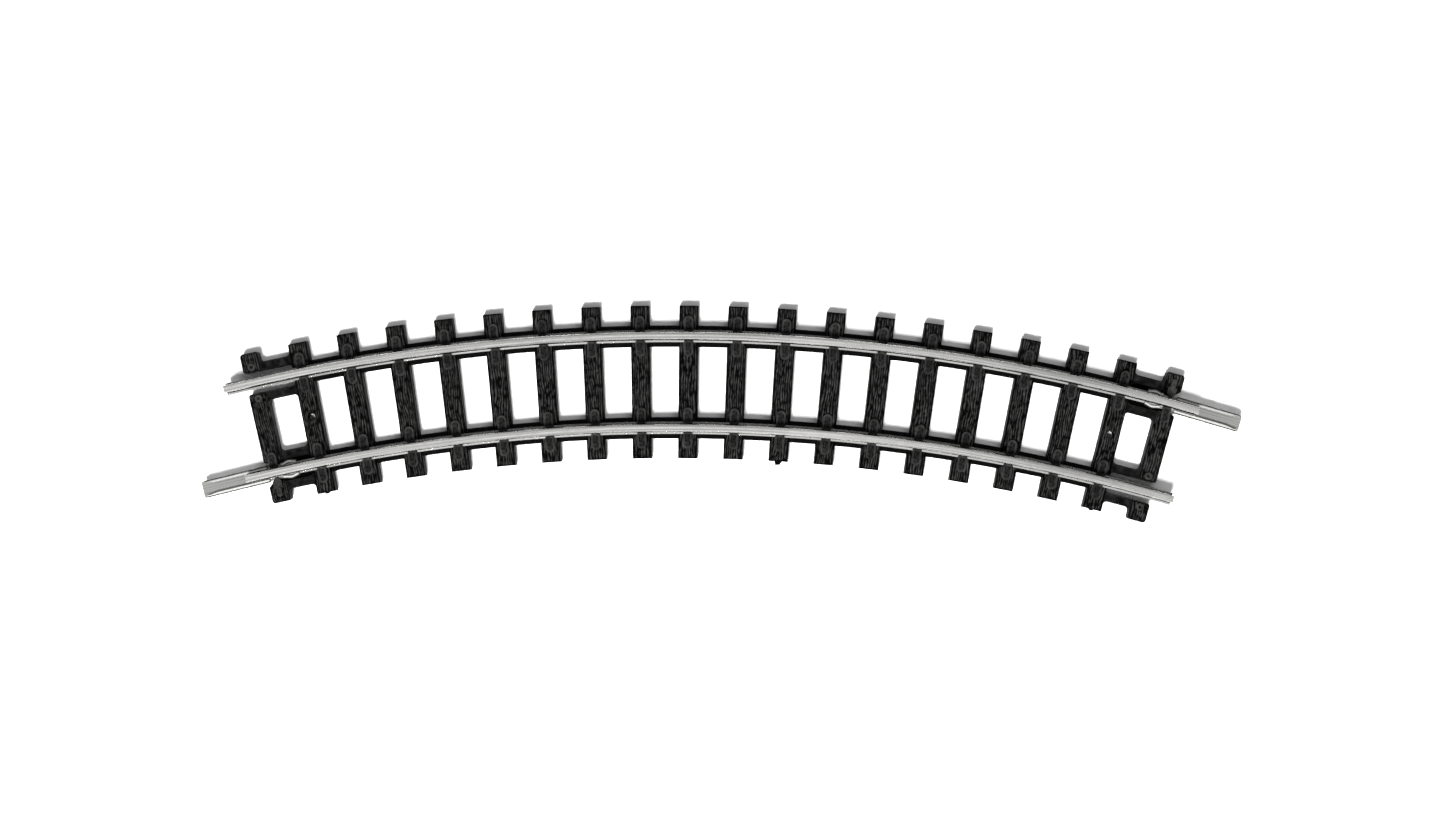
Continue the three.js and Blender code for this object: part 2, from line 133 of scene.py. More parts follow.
# The latches, measured in the same way.
LATCH_WIDTH = 0.93
LATCH_NECK = 0.95
BETWEEN_SHOULDER = 1.25
OUTSIDE_TIP = 0.56
OUTSIDE_SHOULDER = 1.46
LATCH_UNDER = FOOT_Z + 0.33
LATCH_TOP = SLEEPER_HEIGHT + 0.28
OVAL_TOP = LATCH_TOP + 0.1
OVAL_WIDTH = 0.53
OVAL_NEAR = 1.57
OVAL_FAR = 2.63

PIN_HOLE = 0.85
BOLT_OUTER = 0.82
BOLT_INNER = 0.34
BOLT_RISE = 0.18
BOLT_AT = 1.7

GATES = [(1, 0.5, 0.14), (11, 0.8, 0.43), (18, 0.5, 0.14)]  # sleeper, width, length
GATE_LOW, GATE_TOP = 0.3, 1.0
GATE_EDGE = 0.05
GATE_SKIN = 0.035  # depth of the unevenness in their tops

# The meshes: how far apart the points of a top are, and how far round curves are split.
SLEEPER_CELL = (0.055, 0.11)
END_CELL = (0.075, 0.11)
FINE_CELL = (0.06, 0.06)
WEB_CELL = (0.13, 0.13)
GATE_CELL = (0.15, 0.15)
COARSE_CELL = (0.4, 0.4)
CORNER_STEPS = 4
ROUND_STEPS = 8
TURNED_SIDES = 24
HOLE_SIDES = 32
HOLE_ENDS = (-1.0, 3.0)  # heights that a hole's cutter reaches, past both faces
SHARP = math.radians(40)  # edges sharper than this stay crisp

# ---- the rails ----
HEAD_WIDTH = 0.76
HEAD_DEPTH = 0.5
WEB_WIDTH = 0.34
FOOT_EDGE = 0.22
FOOT_MIDDLE = 0.38
CROWN = 0.07  # radius on the head's edges
RAIL_STEPS = 120

# ---- the joiners ----
SHEET = 0.14
JOINER_HALF = 0.91
JOINER_LIP = 0.56  # from the middle to the edge of a lip
JOINER_BEND = 0.2
# Along the joiner, from the middle of its notches.
JOINER_MOUTH = 7.96
JOINER_TAIL = 2.45
JOINER_NOTCH = 0.745
JOINER_STEP = 0.14
JOINER_EAR = 1.06  # half the width between the notches and the tail
JOINER_SET = 0.035  # towards the centre of the curve, since the joiner is straight
MOUTH_CUT = 1.3
MOUTH_FLOOR = 0.35
MOUTH_CORNER = 0.25
SIDE_END = JOINER_MOUTH - MOUTH_FLOOR
JOINER_FLOOR = FOOT_Z - 0.02
LIP_UNDER = FOOT_Z + 0.35

# out is +1 where the track's outside lies away from the centre of the curve. Each rail carries
# a joiner at one end: -1 is the end towards -X.
RAILS = {
    "outer_rail": {"radius": OUTER_RADIUS, "out": 1, "joiner_end": 1},
    "inner_rail": {"radius": INNER_RADIUS, "out": -1, "joiner_end": -1},
}


# ---- the curve ----
def on_curve(radius, degrees):
    a = math.radians(degrees)
    return CENTRE + Vector((radius * math.sin(a), radius * math.cos(a)))


def sleeper_angle(i):
    return (i - LAST / 2) * SLEEPER_PITCH


def directions(degrees):
    """Along the track and outwards, at an angle from its middle."""
    a = math.radians(degrees)
    return Vector((math.cos(a), -math.sin(a))), Vector((math.sin(a), math.cos(a)))


def from_sleeper(i, x, y):
    """A point given in a sleeper's own frame: x along the track, y from the centre of the curve."""
    along, out = directions(sleeper_angle(i))
    return CENTRE + along * x + out * y


def end_sleeper(end):
    return 0 if end < 0 else LAST


def end_name(end):
    return "left" if end < 0 else "right"


def clamped(value):
    return max(0.0, min(1.0, value))


# ---- meshes ----
def make(name, verts, faces, material, body="track", uvs=None):
    """A piece from points in millimetres. Its place is in its mesh."""
    mesh = bpy.data.meshes.new(name)
    mesh.from_pydata([Vector(v) * MM for v in verts], [], faces)
    if uvs:
        layer = mesh.uv_layers.new(name="along")
        for loop in mesh.loops:
            layer.data[loop.index].uv = uvs[loop.vertex_index]
    mesh.polygons.foreach_set("use_smooth", [True] * len(mesh.polygons))
    mesh.update()
    mesh.materials.append(material)
    piece = bpy.data.objects.new(name, mesh)
    bpy.context.scene.collection.objects.link(piece)
    mesh.set_sharp_from_angle(angle=SHARP)
    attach(piece, body)
    return piece


def joined(parts):
    """One list of points and one of faces from several."""
    verts, faces = [], []
    for part_verts, part_faces in parts:
        faces += [tuple(k + len(verts) for k in face) for face in part_faces]
        verts += part_verts
    return verts, faces


def rounded(points, radius):
    """A closed outline with its corners rounded, all by one radius or each by its own."""
    out = []
    count = len(points)
    for i, point in enumerate(points):
        r = radius[i] if isinstance(radius, (list, tuple)) else radius
        corner = Vector(point)
        if r == 0:
            out.append(corner)
            continue
        a = (Vector(points[i - 1]) - corner).normalized()
        b = (Vector(points[(i + 1) % count]) - corner).normalized()
        reach = r / math.tan(math.acos(max(-1.0, min(1.0, a.dot(b)))) / 2)
        start, end = corner + a * reach, corner + b * reach
        for k in range(CORNER_STEPS + 1):
            t = k / CORNER_STEPS
            out.append(start * (1 - t) ** 2 + corner * 2 * t * (1 - t) + end * t**2)
    return out


def tongue(width, near, far, taper):
    """The outline of a tongue along +Y with both ends round."""
    half = width / 2
    out = []
    for y, depth, sign in ((near + taper, taper, 1), (far - half, half, -1)):
        for k in range(ROUND_STEPS + 1):
            a = math.pi * k / ROUND_STEPS
            out.append(Vector((sign * half * math.cos(a), y - sign * depth * math.sin(a))))
    return out


def edge_distance(point, outline):
    """From a point to the nearest side of a closed outline."""
    best = 1e9
    for i, a in enumerate(outline):
        side = a - outline[i - 1]
        to = point - outline[i - 1]
        t = clamped(to.dot(side) / max(side.length_squared, 1e-12))
        best = min(best, (to - side * t).length)
    return best


def inside(point, outline):
    hit = False
    for i, a in enumerate(outline):
        b = outline[i - 1]
        if (a.y > point.y) != (b.y > point.y):
            if point.x < (b.x - a.x) * (point.y - a.y) / (b.y - a.y) + a.x:
                hit = not hit
    return hit


def rise(distance, edge):
    """How far a rounded edge has risen at a distance in from the side, up to the edge's radius."""
    if distance >= edge:
        return edge
    return math.sqrt(max(0.0, edge**2 - (edge - distance) ** 2))


def edge_insets(edge):
    """How far in from the side the rings of points round a rounded edge are."""
    return [0.0, edge * 0.1, edge * 0.35, edge]


def relief_slab(outline, z0, z1, cell, relief=None, edge=EDGE):
    """A piece with upright sides, a round top edge and a relief in its top.

    relief(point, distance in from the side) gives the height to add.
    """
    if sum(a.x * b.y - b.x * a.y for a, b in zip(outline[-1:] + outline[:-1], outline)) < 0:
        outline = outline[::-1]
    count = len(outline)
    normals = []
    for i in range(count):
        along = outline[(i + 1) % count] - outline[i - 1]
        normals.append(Vector((along.y, -along.x)).normalized())
    rings = edge_insets(edge)
    points = []
    for inset in rings:
        points += [p - n * inset for p, n in zip(outline, normals)]
    xs = [p.x for p in outline]
    ys = [p.y for p in outline]
    inner = []
    for i in range(int((max(xs) - min(xs)) / cell[0]) + 1):
        for j in range(int((max(ys) - min(ys)) / cell[1]) + 1):
            p = Vector((min(xs) + (i + 0.5) * cell[0], min(ys) + (j + 0.5) * cell[1]))
            if inside(p, outline) and edge_distance(p, outline) > edge + 0.3 * min(cell):
                inner.append(p)
    last_ring = (len(rings) - 1) * count
    flat = points[last_ring:] + inner
    ring_edges = [(k, (k + 1) % count) for k in range(count)]
    done = delaunay_2d_cdt(flat, ring_edges, [list(range(count))], 1, 1e-6)
    verts = []
    for ring, inset in enumerate(rings[:-1]):
        for p in points[ring * count : (ring + 1) * count]:
            verts.append((p.x, p.y, z1 - edge + rise(inset, edge)))
    top_start = len(verts)
    match = {}
    for k, p in enumerate(done[0]):
        distance = edge_distance(p, outline)
        extra = relief(p, distance) if relief else 0.0
        verts.append((p.x, p.y, z1 + extra))
        for origin in done[3][k]:
            if origin < count:
                match[origin] = top_start + k
    faces = [tuple(top_start + k for k in face) for face in done[2]]
    for ring in range(len(rings) - 1):
        for k in range(count):
            n = (k + 1) % count
            low = (ring * count + k, ring * count + n)
            if ring == len(rings) - 2:
                high = (match.get(n), match.get(k))
                if None in high:
                    continue
            else:
                high = ((ring + 1) * count + n, (ring + 1) * count + k)
            faces.append((*low, *high))
    bottom = len(verts)
    verts += [(p.x, p.y, z0) for p in outline]
    for k in range(count):
        n = (k + 1) % count
        faces.append((bottom + k, bottom + n, n, k))
    faces.append(tuple(bottom + k for k in reversed(range(count))))
    return verts, faces


def sweep(section, radius, start, end, steps):
    """A closed [u, z] section, seen from the end, carried along the curve; with UVs in mm."""
    verts, faces, uvs = [], [], []
    count = len(section)
    girth = [0.0]
    for k in range(count):
        a, b = Vector(section[k]), Vector(section[(k + 1) % count])
        girth.append(girth[-1] + (b - a).length)
    for i in range(steps + 1):
        angle = start + (end - start) * i / steps
        for k, (u, z) in enumerate(section):
            p = on_curve(radius + u, angle)
            verts.append((p.x, p.y, z))
            uvs.append((math.radians(angle) * radius, girth[k]))
    for i in range(steps):
        for k in range(count):
            a, b = i * count + k, i * count + (k + 1) % count
            faces.append((a, b, b + count, a + count))
    faces.append(tuple(reversed(range(count))))
    faces.append(tuple(steps * count + k for k in range(count)))
    return verts, faces, uvs


# ---- wood grain ----
def fibre(u, v, seed):
    """The height of the grain, 0 at the bottom of a line and 1 between lines.

    The lines drift sideways, break off here and there, and have a finer roughness over them.
    """
    drift = noise.noise(Vector((u * 0.5, v * 0.2, seed))) * 0.4
    drift += noise.noise(Vector((u * 2.0, v * 0.9, seed + 40.0))) * 0.13
    lines = 0.5 + 0.5 * math.cos(2 * math.pi * (u + drift) / GRAIN_STEP)
    broken = 0.5 + 1.1 * noise.noise(Vector((u * 3.6, v * 1.9, seed + 9.0)))
    fine = noise.noise(Vector((u * 8.0, v * 3.6, seed + 77.0)))
    return clamped(lines * (0.25 + broken) + 0.4 * fine)


def round_knot(u, v, knot):
    """Where to read the grain, so that its lines bend round a knot."""
    du, dv = u - knot[0], v - knot[1]
    near = math.exp(-(du**2 / 0.18 + dv**2 / 0.6))
    return u + KNOT_PULL * near * (1 if du > 0 else -1)


def grain(i, knot=None):
    """A relief for sleeper i, worked out in its own frame."""
    along, out = directions(sleeper_angle(i))
    seed = 13.7 * i + 3.1

    def relief(point, distance):
        to = point - CENTRE
        u, v = to.dot(along), to.dot(out) - CURVE_RADIUS
        if knot:
            u = round_knot(u, v, knot)
        fade = clamped((distance - 0.03) / GRAIN_MARGIN)
        return -GRAIN_DEPTH * (1.0 - fade * fibre(u, v, seed))

    return relief


def mottle(seed, depth=WEB_SKIN):
    """The uneven skin of the webs and gate marks."""

    def relief(point, distance):
        p = Vector((point.x * 2.4, point.y * 2.4, seed))
        return -depth * min(1.0, distance / 0.1) * (0.5 + 0.5 * noise.noise(p))

    return relief


def spread(length, cell, edge):
    """Places along a length, closer together over the round edge at each end."""
    near = edge_insets(edge)
    inner = max(1, round((length - 2 * edge) / cell))
    middle = [edge + (length - 2 * edge) * k / inner for k in range(1, inner)]
    return near + middle + [length - x for x in reversed(near)]


def plain_sleeper(i):
    """A whole sleeper as a grid with a skirt."""
    half = SLEEPER_WIDTH / 2
    us = [u - half for u in spread(SLEEPER_WIDTH, SLEEPER_CELL[0], EDGE)]
    vs = [v - SLEEPER_HALF for v in spread(2 * SLEEPER_HALF, SLEEPER_CELL[1], EDGE)]
    across_at = 0.5 * noise.noise(Vector((i * 5.3, 1.0, 2.0)))
    along_at = 9.0 * noise.noise(Vector((i * 3.1, 7.0, 0.5)))
    relief = grain(i, (across_at, along_at))
    verts, faces = [], []
    for v in vs:
        for u in us:
            p = from_sleeper(i, u, CURVE_RADIUS + v)
            distance = min(half - abs(u), SLEEPER_HALF - abs(v))
            top = SLEEPER_HEIGHT - EDGE + rise(distance, EDGE)
            verts.append((p.x, p.y, top + relief(p, distance)))
    across = len(us)
    for j in range(len(vs) - 1):
        for k in range(across - 1):
            a = j * across + k
            faces.append((a, a + 1, a + across + 1, a + across))
    rim = [k for k in range(across)]
    rim += [j * across + across - 1 for j in range(1, len(vs))]
    rim += [(len(vs) - 1) * across + k for k in reversed(range(across - 1))]
    rim += [j * across for j in reversed(range(1, len(vs) - 1))]
    base = len(verts)
    spots = [(u, vs[0]) for u in us]
    spots += [(us[-1], v) for v in vs[1:]]
    spots += [(u, vs[-1]) for u in reversed(us[:-1])]
    spots += [(us[0], v) for v in reversed(vs[1:-1])]
    for u, v in spots:
        p = from_sleeper(i, u * (1 + SLEEPER_DRAFT / half), CURVE_RADIUS + v)
        verts.append((p.x, p.y, 0.0))
    count = len(rim)
    for k in range(count):
        n = (k + 1) % count
        faces.append((rim[n], rim[k], base + k, base + n))
    faces.append(tuple(base + k for k in reversed(range(count))))
    return verts, faces


# ---- the moulding's pieces ----
def moved(part, place):
    """A part's points carried to their place by place(x, y)."""
    verts, faces = part
    out = []
    for x, y, z in verts:
        p = place(x, y)
        out.append((p.x, p.y, z))
    return out, faces


def turned_over(part):
    verts, faces = part
    return verts, [tuple(reversed(face)) for face in faces]


def beside_rail(part, radius, side, i):
    """A part drawn pointing at a rail along +Y, set down on one side of it at a sleeper."""
    placed = moved(part, lambda x, y: from_sleeper(i, x, radius + side * y))
    return placed if side > 0 else turned_over(placed)


def dished(point, distance):
    """The top of a clip: a raised rim round a shallow dish."""
    t = clamped((distance - CLIP_RIM) / 0.1)
    rough = noise.noise(Vector((point.x * 6.0, point.y * 4.0, 2.0)))
    rough += 0.6 * noise.noise(Vector((point.x * 11.0, point.y * 9.0, 6.0)))
    return 0.05 * rough - 0.02 - (CLIP_DISH - 0.02) * t * t * (3 - 2 * t)


def rough_skin(point, _):
    """The same skin without the dish."""
    return dished(point, 0.0)


def clip_part(width=CLIP_WIDTH):
    outline = tongue(width, CLIP_NEAR, CLIP_REACH, 0.2)
    return relief_slab(outline, LATCH_UNDER, CLIP_TOP, FINE_CELL, dished, CLIP_EDGE)


def clip_foot():
    """What carries a clip down to the sleeper, beside the rail's foot."""
    outline = tongue(CLIP_WIDTH - 0.02, CLIP_FOOT_NEAR, CLIP_REACH - 0.01, 0.1)
    return relief_slab(outline, FOOT_Z, LATCH_UNDER + 0.05, COARSE_CELL)


def clips(node, material):
    radius = RAILS[node]["radius"]
    parts = []
    for part in (clip_part(), clip_foot()):
        for i in range(1, LAST):
            for side in (1, -1):
                parts.append(beside_rail(part, radius, side, i))
    latch = end_sleeper(RAILS[node]["joiner_end"])
    parts.append(beside_rail(clip_part(LATCH_WIDTH), radius, -RAILS[node]["out"], latch))
    make("clips_" + node, *joined(parts), material)


def runner(node, material):
    radius = RAILS[node]["radius"]
    half = STRIP_WIDTH / 2
    flat, low = half - STRIP_EDGE, STRIP_TOP - STRIP_EDGE
    section = [(-half, STRIP_BOTTOM), (half, STRIP_BOTTOM), (half, low), (flat, STRIP_TOP)]
    section += [(-flat, STRIP_TOP), (-half, low)]
    start, stop = sleeper_angle(1), sleeper_angle(LAST - 1)
    verts, faces, uvs = sweep(section, radius, start, stop, STRIP_STEPS)
    make("runner_" + node, verts, faces, material, uvs=uvs)


def end_web(end, node, side):
    """One web of an end frame, from the last sleeper to the next, on one side of a rail."""
    last = end_sleeper(end)
    following = last - end
    face = SLEEPER_WIDTH / 2
    inside_sleeper = face - BURIED
    radius = RAILS[node]["radius"]

    def at(i, x, d):
        return from_sleeper(i, x, radius + side * d)

    inward = -end
    far = END_WEB + END_CORNER + 0.1
    near = END_SLOT - END_CORNER - 0.05
    corners = [
        (at(last, inside_sleeper * inward, END_SLOT), 0),
        (at(following, -face * inward, END_SLOT), END_CORNER),
        (at(following, -face * inward, near), 0),
        (at(following, -inside_sleeper * inward, near), 0),
        (at(following, -inside_sleeper * inward, far), 0),
        (at(following, -face * inward, far), 0),
        (at(following, -face * inward, END_WEB), END_CORNER),
        (at(last, face * inward, END_WEB), END_CORNER),
        (at(last, face * inward, far), 0),
        (at(last, inside_sleeper * inward, far), 0),
    ]
    outline = rounded([c[0] for c in corners], [c[1] for c in corners])
    seed = 3.0 * end + side + radius
    return relief_slab(outline, 0.0, END_WEB_TOP, WEB_CELL, mottle(seed))


def end_plate(end, node):
    """What closes the slot under a joiner, lower than the webs beside it."""
    last = end_sleeper(end)
    following = last - end
    reach = END_SLOT + 0.05
    radius = RAILS[node]["radius"]
    far = (SLEEPER_WIDTH / 2 - BURIED) * end
    corners = [(last, 0.0, -reach), (last, 0.0, reach)]
    corners += [(following, far, reach), (following, far, -reach)]
    outline = [from_sleeper(i, x, radius + y) for i, x, y in corners]
    return relief_slab(outline, 0.0, END_FLOOR_TOP, WEB_CELL, mottle(2.0 * end))


def end_frame(end, material):
    parts = [end_web(end, node, side) for node in RAILS for side in (1, -1)]
    parts += [end_plate(end, node) for node in RAILS if RAILS[node]["joiner_end"] == end]
    make("end_frame_" + end_name(end), *joined(parts), material)


def sleeper_end(end, node, side):
    """The corners of an end sleeper's piece where it meets a rail: (x, distance, radius)."""
    half = SLEEPER_WIDTH / 2
    inward = -end
    rail = RAILS[node]
    if rail["joiner_end"] != end:
        return [(-half * inward, END_SLOT, END_NIP), (half * inward, END_SLOT, END_NIP)]
    narrow = LATCH_WIDTH / 2
    shoulder = OUTSIDE_SHOULDER if side == rail["out"] else BETWEEN_SHOULDER
    return [
        (-half * inward, shoulder, 0.12),
        (-narrow * inward, LATCH_NECK + 0.05, 0.1),
        (narrow * inward, LATCH_NECK + 0.05, 0.1),
        ((half - 0.15) * inward, END_SLOT, 0.06),
        (half * inward, END_SLOT + 0.05, 0),
    ]


def end_sleeper_piece(end, low, high):
    """From one rail to the other, or from a rail to the sleeper's end where low or high is None."""
    i = end_sleeper(end)
    half = SLEEPER_WIDTH / 2
    tips = ((-half, END_TIP), (half, END_TIP))
    corners = []
    if low:
        radius = RAILS[low]["radius"]
        run = [(x, radius + d, r) for x, d, r in sleeper_end(end, low, 1)]
        corners += run if end < 0 else run[::-1]
    else:
        corners += [(x, CURVE_RADIUS - SLEEPER_HALF, r) for x, r in tips]
    if high:
        radius = RAILS[high]["radius"]
        run = [(x, radius - d, r) for x, d, r in sleeper_end(end, high, -1)]
        corners += run[::-1] if end < 0 else run
    else:
        corners += [(x, CURVE_RADIUS + SLEEPER_HALF, r) for x, r in tips[::-1]]
    outline = rounded([from_sleeper(i, x, y) for x, y, _ in corners], [r for _, _, r in corners])
    return relief_slab(outline, 0.0, SLEEPER_HEIGHT, END_CELL, grain(i))


def latches(end, material):
    """The outer tongue that reaches over the joiner at one end, with a raised oval on it."""
    rail = next(rail for rail in RAILS.values() if rail["joiner_end"] == end)
    half, nose = LATCH_WIDTH / 2, 0.12
    root, cheek = OUTSIDE_SHOULDER + 0.25, OUTSIDE_TIP + 0.42
    corners = [(-nose, OUTSIDE_TIP), (nose, OUTSIDE_TIP), (half, cheek), (half, root)]
    corners += [(-half, root), (-half, cheek)]
    pointed = rounded(corners, [0.1, 0.1, 0.2, 0.05, 0.05, 0.2])
    oval = tongue(OVAL_WIDTH, OVAL_NEAR, OVAL_FAR, OVAL_WIDTH / 2)
    parts = [
        relief_slab(pointed, LATCH_UNDER, LATCH_TOP, FINE_CELL, rough_skin, CLIP_EDGE),
        relief_slab(oval, SLEEPER_HEIGHT - 0.2, OVAL_TOP, FINE_CELL, rough_skin, CLIP_EDGE),
    ]
    i = end_sleeper(end)
    parts = [beside_rail(part, rail["radius"], rail["out"], i) for part in parts]
    make("latch_" + end_name(end), *joined(parts), material)


def lathe(profile, place):
    """A closed [r, z] profile turned about the vertical through place."""
    verts, faces = [], []
    count = len(profile)
    for k in range(TURNED_SIDES):
        a = 2 * math.pi * k / TURNED_SIDES
        for r, z in profile:
            verts.append((place.x + r * math.cos(a), place.y + r * math.sin(a), z))
    for k in range(TURNED_SIDES):
        n = (k + 1) % TURNED_SIDES
        for j in range(count):
            m = (j + 1) % count
            faces.append((k * count + j, n * count + j, n * count + m, k * count + m))
    return verts, faces


def bolts(end, material):
    """The ring bosses beside the rail that has no joiner at this end."""
    rail = next(rail for rail in RAILS.values() if rail["joiner_end"] != end)
    outer, inner = BOLT_OUTER / 2, BOLT_INNER / 2
    top = SLEEPER_HEIGHT + BOLT_RISE
    low = SLEEPER_HEIGHT - 0.2
    profile = [(inner, low), (outer, low), (outer, top - 0.09), (outer - 0.03, top - 0.03)]
    profile += [(outer - 0.09, top), (inner + 0.05, top), (inner, top - 0.05)]
    parts = []
    for side in (1, -1):
        place = from_sleeper(end_sleeper(end), 0.0, rail["radius"] + side * BOLT_AT)
        parts.append(lathe(profile, place))
    make("bolts_" + end_name(end), *joined(parts), material)


def gates(material):
    """Rough little stumps where the moulding was broken off its gates."""
    parts = []
    for i, width, length in GATES:
        end = -SLEEPER_HALF
        half = width / 2
        corners = [(-half, end + 0.3), (-half, end), (-half * 0.7, end - length)]
        corners += [(half * 0.45, end - length * 0.8), (half, end), (half, end + 0.3)]
        outline = [from_sleeper(i, x, CURVE_RADIUS + y) for x, y in corners]
        skin = mottle(8.0 + i, GATE_SKIN)
        parts.append(relief_slab(outline, GATE_LOW, GATE_TOP, GATE_CELL, skin, GATE_EDGE))
    make("gate_marks", *joined(parts), material)


def bored(piece, place, diameter):
    """Cuts a round hole down through a piece."""
    r = diameter / 2 * MM
    mesh = bpy.data.meshes.new("cutter")
    sides = HOLE_SIDES
    verts = []
    for z in HOLE_ENDS:
        for k in range(sides):
            a = 2 * math.pi * k / sides
            verts.append((place.x * MM + r * math.cos(a), place.y * MM + r * math.sin(a), z * MM))
    faces = [(k, (k + 1) % sides, sides + (k + 1) % sides, sides + k) for k in range(sides)]
    faces += [tuple(reversed(range(sides))), tuple(range(sides, 2 * sides))]
    mesh.from_pydata(verts, [], faces)
    cutter = bpy.data.objects.new("cutter", mesh)
    bpy.context.scene.collection.objects.link(cutter)
    cut = piece.modifiers.new("hole", "BOOLEAN")
    cut.operation = "DIFFERENCE"
    cut.solver = "EXACT"
    cut.object = cutter
    bpy.context.view_layer.update()
    graph = bpy.context.evaluated_depsgraph_get()
    done = bpy.data.meshes.new_from_object(piece.evaluated_get(graph))
    piece.modifiers.clear()
    piece.data = done
    bpy.data.objects.remove(cutter)


# ---- the rails ----
def rail_section():
    """A rail with round edges, right half from the foot up, then the left half down."""
    foot, web, head = FOOT_WIDTH / 2, WEB_WIDTH / 2, HEAD_WIDTH / 2
    height = RAIL_TOP - FOOT_Z
    neck = height - HEAD_DEPTH
    right = [(foot - 0.03, 0), (foot, 0.03)]
    right += [(foot, FOOT_EDGE - 0.06), (foot - 0.02, FOOT_EDGE - 0.015)]
    right += [(foot - 0.2, FOOT_EDGE + 0.012), (foot - 0.21, FOOT_EDGE + 0.03)]
    right += [(head - 0.02, FOOT_EDGE + 0.15), (web + 0.04, FOOT_MIDDLE), (web, FOOT_MIDDLE + 0.1)]
    right += [(web, neck - 0.1), (web + 0.05, neck - 0.05)]
    right += [(head - 0.04, neck), (head, neck + 0.05)]
    for k in range(6):
        a = math.pi / 2 * k / 5
        right.append((head - CROWN + CROWN * math.cos(a), height - CROWN + CROWN * math.sin(a)))
    right.append((0.1, height))
    left = [(-u, z) for u, z in reversed(right)]
    return [(u, FOOT_Z + z) for u, z in right + left]


def rail(node, material):
    radius = RAILS[node]["radius"]
    verts, faces, uvs = sweep(rail_section(), radius, -HALF_ANGLE, HALF_ANGLE, RAIL_STEPS)
    piece = make(node + "_metal", verts, faces, material, uvs=uvs)
    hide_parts(node)


# ---- the joiners ----
def joiner_half(x):
    """Half the width over the sides: they flare into an ear between the notch and the tail."""
    start, end = -JOINER_NOTCH - 0.1, -JOINER_TAIL
    t = clamped((x - start) / (end - start))
    return JOINER_HALF + (JOINER_EAR - JOINER_HALF) * math.sin(math.pi * t) ** 2


def lip_edge(x):
    """How far the edge of a lip is from the middle: the lips are cut back at the mouth."""
    if x < -JOINER_NOTCH:
        return JOINER_LIP + joiner_half(x) - JOINER_HALF
    t = clamped((x - SIDE_END + MOUTH_CUT) / MOUTH_CUT)
    return JOINER_LIP + (JOINER_HALF - SHEET - JOINER_LIP) * t**1.4


def joiner_profile(x):
    """The outside of the sheet from the middle of the floor round to the edge of a lip."""
    half, bend = joiner_half(x), JOINER_BEND
    bottom, top = JOINER_FLOOR - SHEET, LIP_UNDER + SHEET
    points = [((half - bend) * k / 5, bottom) for k in range(5)]
    for k in range(5):
        a = math.pi / 2 * k / 4
        points.append((half - bend + bend * math.sin(a), bottom + bend - bend * math.cos(a)))
    points += [(half, top - 0.2), (half - 0.005, top - 0.15), (half - 0.01, top - 0.1)]
    points += [(half - 0.1, top - 0.035), (half - bend, top)]
    reach = min(half - bend - 0.01, lip_edge(x))
    for k in range(1, 4):
        points.append((half - bend - (half - bend - reach) * k / 3, top))
    return points


def mouth_half(x):
    """Half the width of the floor, with its corners rounded at the open end."""
    over = max(0.0, x - (JOINER_MOUTH - MOUTH_CORNER))
    return JOINER_HALF - MOUTH_CORNER + math.sqrt(max(0.0, MOUTH_CORNER**2 - over**2))


FLOOR_POINTS = 6  # of the profile, which the notches and the mouth leave in place


def joiner_stops():
    """Where the joiner's profiles stand along it, closer together round the mouth's corners."""
    stops = [-JOINER_TAIL, -JOINER_NOTCH, JOINER_NOTCH, SIDE_END - MOUTH_CUT, SIDE_END]
    stops.append(JOINER_MOUTH - MOUTH_CORNER)
    xs = []
    for a, b in zip(stops, stops[1:]):
        steps = max(2, round((b - a) / JOINER_STEP))
        xs += [a + (b - a) * k / steps for k in range(steps)]
    for k in range(7):
        xs.append(stops[-1] + MOUTH_CORNER * math.sin(math.pi / 2 * k / 6))
    xs.insert(xs.index(SIDE_END) + 1, SIDE_END + 0.04)
    return xs


def joiner(node, name, material):
    """A sheet folded round the rail's foot, on the straight line of the rail's end."""
    end = RAILS[node]["joiner_end"]
    radius = RAILS[node]["radius"]
    xs = joiner_stops()
    half_count = len(joiner_profile(0.0))
    count = 2 * half_count - 1
    behind = radius * math.sin(math.radians(HALF_ANGLE - abs(sleeper_angle(LAST))))
    base = on_curve(radius - JOINER_SET, end * HALF_ANGLE)
    along, out = directions(end * HALF_ANGLE)
    verts, faces, uvs = [], [], []
    for x in xs:
        profile = joiner_profile(x)
        if x > SIDE_END:
            flat = mouth_half(x) / FLOOR_POINTS
            profile = [(flat * k, profile[0][1]) for k in range(half_count)]
        full = [(-y, z) for y, z in reversed(profile[1:])] + profile
        for k, (y, z) in enumerate(full):
            p = base + along * end * (x - behind) + out * y
            verts.append((p.x, p.y, z))
            uvs.append((x, k * 0.15))
    middle = half_count - 1
    for i in range(len(xs) - 1):
        x = (xs[i] + xs[i + 1]) / 2
        folded = JOINER_NOTCH < x < SIDE_END or x < -JOINER_NOTCH
        for k in range(count - 1):
            far = max(abs(k - middle), abs(k + 1 - middle))
            if not folded and far > FLOOR_POINTS:
                continue
            q = (i * count + k, i * count + k + 1, (i + 1) * count + k + 1, (i + 1) * count + k)
            faces.append(q if end > 0 else q[::-1])
    used = sorted({k for face in faces for k in face})
    place = {k: n for n, k in enumerate(used)}
    faces = [tuple(place[k] for k in face) for face in faces]
    verts, uvs = [verts[k] for k in used], [uvs[k] for k in used]
    piece = make(name + "_sheet", verts, faces, material, f"joiner_on_{node}", uvs)
    thick = piece.modifiers.new("thickness", "SOLIDIFY")
    thick.thickness = SHEET * MM
    thick.offset = -1
    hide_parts(name)


# ---- materials ----
def node_material(name):
    material = bpy.data.materials.new(name)
    material.use_nodes = True
    tree = material.node_tree
    return material, tree, tree.nodes["Principled BSDF"]


